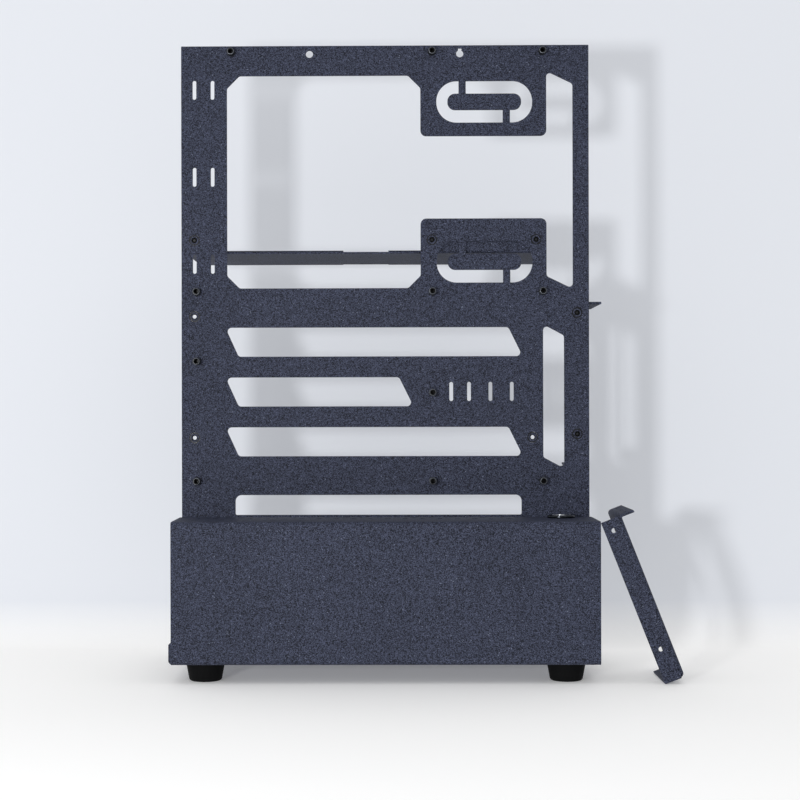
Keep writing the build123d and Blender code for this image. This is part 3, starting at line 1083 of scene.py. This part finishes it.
@dataclass
class Studio:
    """Pale sweep of paper, soft light and the camera of the photograph."""

    reach: float = 20.0
    wall: float = 0.15
    sweep: float = 0.06
    sweep_steps: int = 24
    floor_drop: float = 0.5 * MM
    wall_height: float = 6.0
    paper_roughness: float = 0.9
    wall_colour: str = "#d3d6dc"
    wall_lift: float = 0.31
    floor_colour: str = "#f6f6f6"
    floor_lift: float = 0.16
    sky_colour: str = "#e2e5ea"
    ambient_low: float = 0.54
    ambient_high: float = 1.04
    bright_side: tuple[float, float, float] = (-0.6, 0.8, 0.0)
    key_place: tuple[float, float, float] = (-0.38, -1.18, 0.18)
    key_aim: tuple[float, float, float] = (0.0, 0.0, 0.2)
    key_size: float = 0.09
    key_power: float = 5.8
    camera_place: tuple[float, float, float] = (-0.0233, -1.195, 0.171)
    focal_px: float = 1786.4
    frame_px: float = 800.0
    sensor_mm: float = 36.0
    square_on_px: tuple[float, float] = (388.3, 411.9)
    pan: float = math.radians(0.6)
    tilt: float = math.radians(0.08)
    roll: float = math.radians(-0.125)

    def build(self) -> None:
        """Make the paper, the world, the lamp and the camera."""
        self.make_paper()
        self.make_world()
        self.make_key()
        self.make_camera()
        bpy.context.scene.view_settings.view_transform = "Standard"

    def make_paper(self) -> None:
        """Lay a floor, and a sweep that rises behind the bench and is open from behind."""
        sheet = self.paper_material()
        ground = bmesh.new()
        bmesh.ops.create_grid(ground, x_segments=1, y_segments=1, size=self.reach)
        bmesh.ops.translate(ground, vec=(0, 0, -self.floor_drop), verts=ground.verts)
        self.stage_piece("floor", ground, sheet)
        rise = bmesh.new()
        ends = [rise.verts.new((side * self.reach, -self.reach, 0)) for side in (1, -1)]
        line = [rise.edges.new(ends)]
        foot = self.wall - self.sweep
        line = self.run_on(rise, line, (0, foot + self.reach, 0))
        arc = bmesh.ops.spin(
            rise,
            geom=line,
            cent=(0, foot, self.sweep),
            axis=(1, 0, 0),
            angle=math.radians(90),
            steps=self.sweep_steps,
        )["geom_last"]
        line = [part for part in arc if isinstance(part, bmesh.types.BMEdge)]
        self.run_on(rise, line, (0, 0, self.wall_height))
        bmesh.ops.recalc_face_normals(rise, faces=rise.faces)
        bmesh.ops.reverse_faces(rise, faces=rise.faces)
        shade(rise)
        self.stage_piece("sweep", rise, sheet)

    @staticmethod
    def run_on(
        bm: bmesh.types.BMesh, line: Sequence[bmesh.types.BMEdge], way: tuple[float, float, float]
    ) -> list[bmesh.types.BMEdge]:
        """Draw a line of edges out to a strip.

        Args:
            bm: Shape that has the line.
            line: Edges to draw out.
            way: How far and in which direction.

        Returns:
            The strip's far edges.
        """
        made = bmesh.ops.extrude_edge_only(bm, edges=list(line))["geom"]
        far = [part for part in made if isinstance(part, bmesh.types.BMVert)]
        bmesh.ops.translate(bm, vec=way, verts=far)
        edges = [part for part in made if isinstance(part, bmesh.types.BMEdge)]
        return [edge for edge in edges if edge.is_boundary][:1]

    @staticmethod
    def stage_piece(name: str, bm: bmesh.types.BMesh, paper: bpy.types.Material) -> None:
        """Put a shape on the stage, where it keeps no light off the bench.

        Args:
            name: Name of the piece.
            bm: Its shape.
            paper: Its material.
        """
        mesh = bpy.data.meshes.new(name)
        bm.to_mesh(mesh)
        bm.free()
        made = bpy.data.objects.new(name, mesh)
        bpy.context.scene.collection.objects.link(made)
        mesh.materials.append(paper)
        made.visible_diffuse = False
        made.visible_shadow = False

    def paper_material(self) -> bpy.types.Material:
        """Make matt pale paper, whiter on the floor, that can be seen through from behind.

        Returns:
            The paper's material.
        """
        paper = bpy.data.materials.new("Pale_matt_paper")
        paper.use_nodes = True
        tree = paper.node_tree
        tree.nodes.clear()
        place = add_node(tree, "ShaderNodeTexCoord").outputs["Object"]
        height = add_node(tree, "ShaderNodeSeparateXYZ", {"Vector": place}).outputs["Z"]
        low = add_node(
            tree,
            "ShaderNodeMapRange",
            {"Value": height, "From Min": self.sweep / 2, "From Max": 0.0},
        ).outputs["Result"]
        shade_of_paper = add_node(
            tree,
            "ShaderNodeMix",
            {"Factor": low, "A": linear(self.wall_colour), "B": linear(self.floor_colour)},
            data_type="RGBA",
        )
        lift = add_node(
            tree,
            "ShaderNodeMapRange",
            {"Value": low, "To Min": self.wall_lift, "To Max": self.floor_lift},
        )
        glow = add_node(
            tree,
            "ShaderNodeMath",
            {0: lift.outputs["Result"], 1: shown(tree)},
            operation="MULTIPLY",
        )
        front = add_node(
            tree,
            "ShaderNodeBsdfPrincipled",
            {
                "Base Color": shade_of_paper.outputs["Result"],
                "Roughness": self.paper_roughness,
                "Emission Color": shade_of_paper.outputs["Result"],
                "Emission Strength": glow.outputs["Value"],
            },
        )
        mixed = add_node(
            tree,
            "ShaderNodeMixShader",
            {
                0: add_node(tree, "ShaderNodeNewGeometry").outputs["Backfacing"],
                1: front.outputs["BSDF"],
                2: add_node(tree, "ShaderNodeBsdfTransparent").outputs["BSDF"],
            },
        )
        add_node(tree, "ShaderNodeOutputMaterial", {"Surface": mixed.outputs["Shader"]})
        return paper

    def make_world(self) -> None:
        """Light the bench softly, more where the lamp doesn't reach, and show a pale surrounding."""
        world = bpy.data.worlds.new("Studio")
        world.use_nodes = True
        tree = world.node_tree
        tree.nodes.clear()
        way = add_node(tree, "ShaderNodeTexCoord").outputs["Generated"]
        side = add_node(
            tree,
            "ShaderNodeVectorMath",
            {0: way, 1: self.bright_side},
            operation="DOT_PRODUCT",
        )
        strength = add_node(
            tree,
            "ShaderNodeMapRange",
            {
                "Value": side.outputs["Value"],
                "From Min": -1.0,
                "To Min": self.ambient_low,
                "To Max": self.ambient_high,
            },
        )
        light = add_node(
            tree,
            "ShaderNodeBackground",
            {"Color": linear("#ffffff"), "Strength": strength.outputs["Result"]},
        )
        wall = add_node(
            tree,
            "ShaderNodeBackground",
            {"Color": linear(self.sky_colour), "Strength": 1.0},
        )
        mixed = add_node(
            tree,
            "ShaderNodeMixShader",
            {0: shown(tree), 1: light.outputs["Background"], 2: wall.outputs["Background"]},
        )
        add_node(tree, "ShaderNodeOutputWorld", {"Surface": mixed.outputs["Shader"]})
        bpy.context.scene.world = world

    def make_key(self) -> None:
        """Hang one soft lamp to the left of the camera."""
        lamp = bpy.data.lights.new("Key", "AREA")
        lamp.shape = "SQUARE"
        lamp.size = self.key_size
        lamp.energy = self.key_power
        key = bpy.data.objects.new("Key", lamp)
        key.location = self.key_place
        way = Vector(self.key_aim) - Vector(self.key_place)
        key.rotation_euler = way.to_track_quat("-Z", "Y").to_euler()
        bpy.context.scene.collection.objects.link(key)

    def make_camera(self) -> None:
        """Stand the camera where the photograph was taken from."""
        lens = bpy.data.cameras.new("Camera")
        lens.sensor_width = self.sensor_mm
        lens.lens = self.sensor_mm * self.focal_px / self.frame_px
        axis_px = (
            self.square_on_px[0] - self.focal_px * math.tan(self.pan),
            self.square_on_px[1] - self.focal_px * math.tan(self.tilt),
        )
        lens.shift_x = 0.5 - axis_px[0] / self.frame_px
        lens.shift_y = axis_px[1] / self.frame_px - 0.5
        camera = bpy.data.objects.new("Camera", lens)
        camera.location = self.camera_place
        way = Vector((-math.tan(self.pan), 1, math.tan(self.tilt)))
        turn = way.to_track_quat("-Z", "Y").to_matrix() @ Matrix.Rotation(self.roll, 3, "Z")
        camera.rotation_euler = turn.to_euler()
        bpy.context.scene.collection.objects.link(camera)
        bpy.context.scene.camera = camera


def small_parts() -> list[SmallParts]:
    """List the small parts of the bench, from the plate down.

    Returns:
        The parts, ready to build.
    """
    front, up = Way.FRONT, Way.UP
    steel, black, chrome = Slot.FASTENER_STEEL, Slot.BLACK_ZINC, Slot.CHROME
    parts: list[SmallParts] = [
        Standoffs("board_standoffs", "standoffs", front, black),
        PressNuts("flush_nuts", "press_nuts", front, Slot.POWDER_COAT),
        PanScrews("shelf_screws", "shelf_pan_screws", front, black, turn_step=25),
        PanScrews("bracket_screws", "bracket_pan_screws", front, black, turn_step=40),
        PanScrews("deck_screws", "deck_pan_screws", front, black, turn_step=35),
        PanScrews("floor_screws", "floor_pan_screws", up, black, turn_step=50),
        PanScrews(
            "foot_screws",
            "foot_pan_screws",
            up,
            black,
            turn_step=30,
            shank=2.0,
            head_height=2.6,
            pitch=0.7,
        ),
        HexNuts("deck_nuts", "deck_hex_nuts", front, steel),
        HexNuts("floor_nuts", "floor_hex_nuts", up, steel),
        HexNuts("foot_nuts", "foot_hex_nuts", up, steel, bore=2.05, pitch=0.7),
        ButtonHousing("button_housing", "button_bezel", up, chrome),
        ButtonCap("button_cap", "button_top", up, chrome, Body.BUTTON),
        HexNuts("button_nut", "button_ring_nut", up, chrome, bore=7.95, pitch=1.0),
        SolderTags("button_terminals", "solder_tags", up, Slot.BRASS),
    ]
    for corner in ("front_left", "front_right", "rear_left", "rear_right"):
        parts.append(RubberFoot(f"foot_{corner}", f"rubber_foot_{corner}", up, Slot.RUBBER))
    return parts


def main() -> None:
    """Dress the bench, then set up the studio."""
    logging.basicConfig(level=logging.INFO, format="%(message)s")
    SheetWork().dress()
    for parts in small_parts():
        parts.build()
    Studio().build()


if __name__ == "__main__":
    main()
